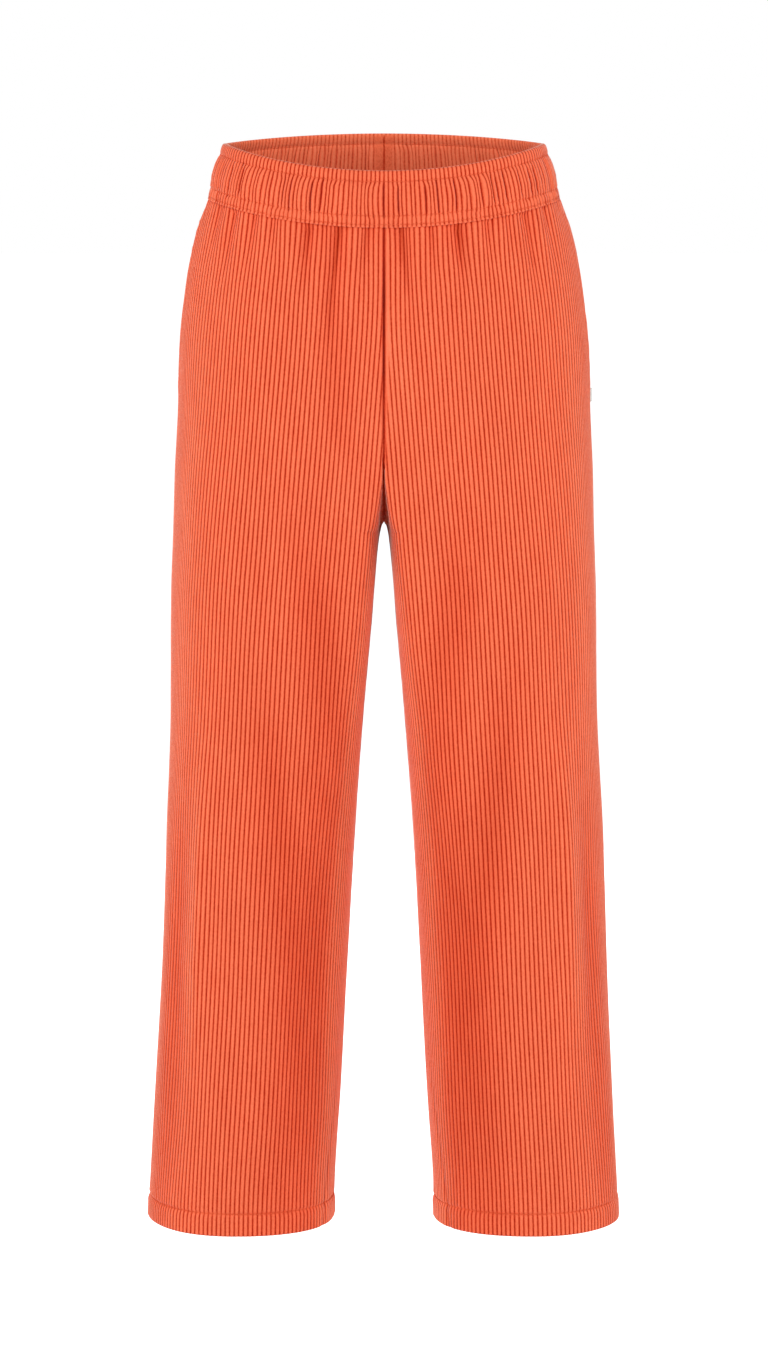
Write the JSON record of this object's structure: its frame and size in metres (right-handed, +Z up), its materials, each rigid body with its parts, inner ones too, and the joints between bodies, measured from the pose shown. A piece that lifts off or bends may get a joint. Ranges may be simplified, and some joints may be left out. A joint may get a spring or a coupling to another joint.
{
  "type": "pull-on corduroy trousers",
  "caption": "Pull-on wide-leg corduroy trousers with an elastic waistband, side-seam pockets and turned-up hems, filled out as if worn.",
  "frame": {"origin": "middle of the waist opening, halfway up the elastic waistband at the sides, where the wearer's waist holds the trousers", "axes": "+Z up, -Y the wearer's front, +X the wearer's left"},
  "size_m": [0.4394, 0.2525, 1.0062],
  "materials": {
    "corduroy": "orange-red cotton corduroy with wide wales, matte with a soft nap",
    "corduroy_facing": "the same corduroy, seen only as a line inside the pocket mouths",
    "woven_tape": "off-white woven tape, matte and bare"
  },
  "bodies": {
    "root": {"front_left": "corduroy", "front_right": "corduroy", "back_left": "corduroy", "back_right": "corduroy", "waistband": "corduroy", "pocket_facing_left": "corduroy_facing", "pocket_facing_right": "corduroy_facing", "side_label": "woven_tape"}
  },
  "joints": []
}
